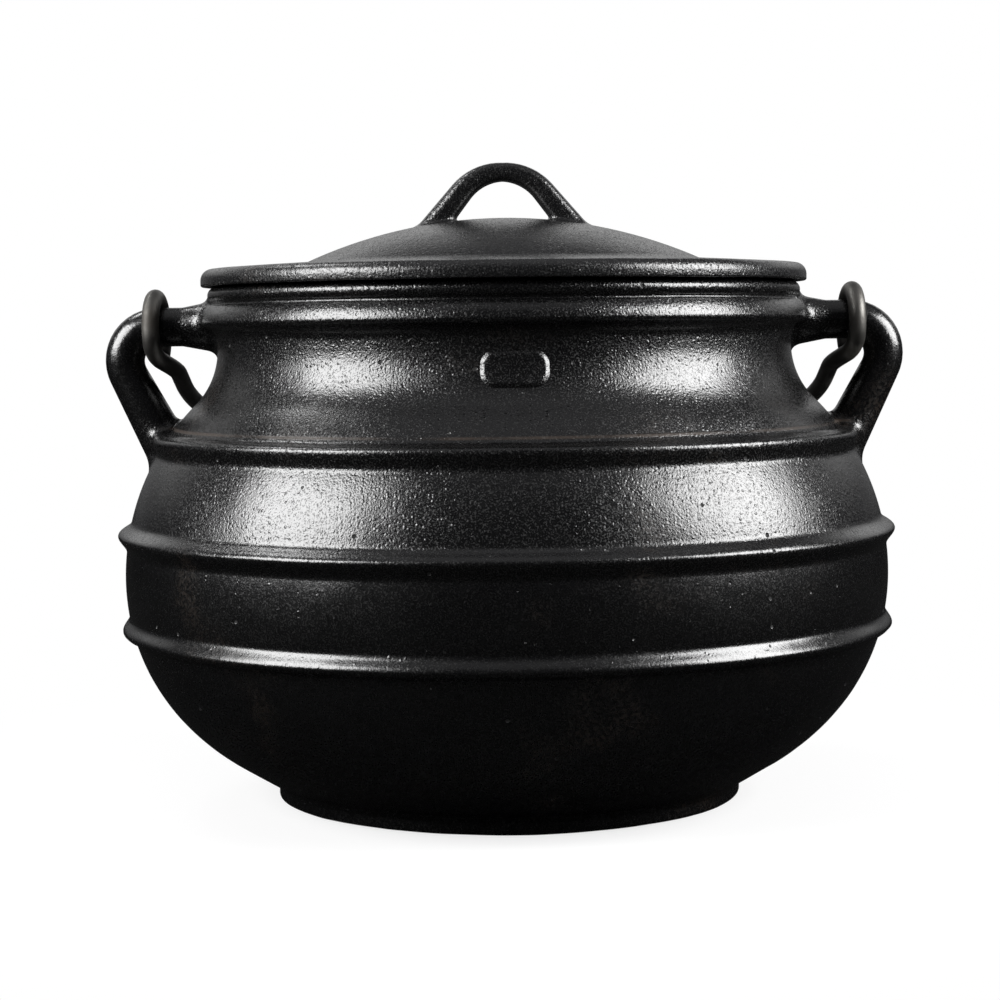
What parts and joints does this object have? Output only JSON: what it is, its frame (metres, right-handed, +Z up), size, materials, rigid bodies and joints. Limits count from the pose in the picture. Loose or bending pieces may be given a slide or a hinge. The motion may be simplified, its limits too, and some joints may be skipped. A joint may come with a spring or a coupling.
{
  "type": "potjie pot",
  "caption": "Flat-bottomed round cast iron pot with ribbed belly, beaded rim, two cast ears, a loose domed lid with an arch grip, and a swinging wire bail.",
  "frame": {"origin": "centre of the foot's underside, on the surface that the pot stands on", "axes": "+Z up; +X along the line through both ears; the bail rests behind the pot, towards +Y"},
  "size_m": [0.1856, 0.18, 0.1465],
  "materials": {
    "pot_iron": "semi-gloss black over a sand-cast grain",
    "lid_iron": "semi-gloss black over a fine cast grain",
    "bail_wire": "dull grey-brown drawn wire"
  },
  "bodies": {
    "pot": {"pot": "pot_iron", "lid": "lid_iron"},
    "bail": {"bail": "bail_wire"}
  },
  "joints": [
    {"name": "bail_swing", "type": "hinge", "parent": "pot", "child": "bail", "pos_m": [0, 0, 0.10866], "axis": [1, 0, 0], "range_deg": [0, 226]}
  ]
}
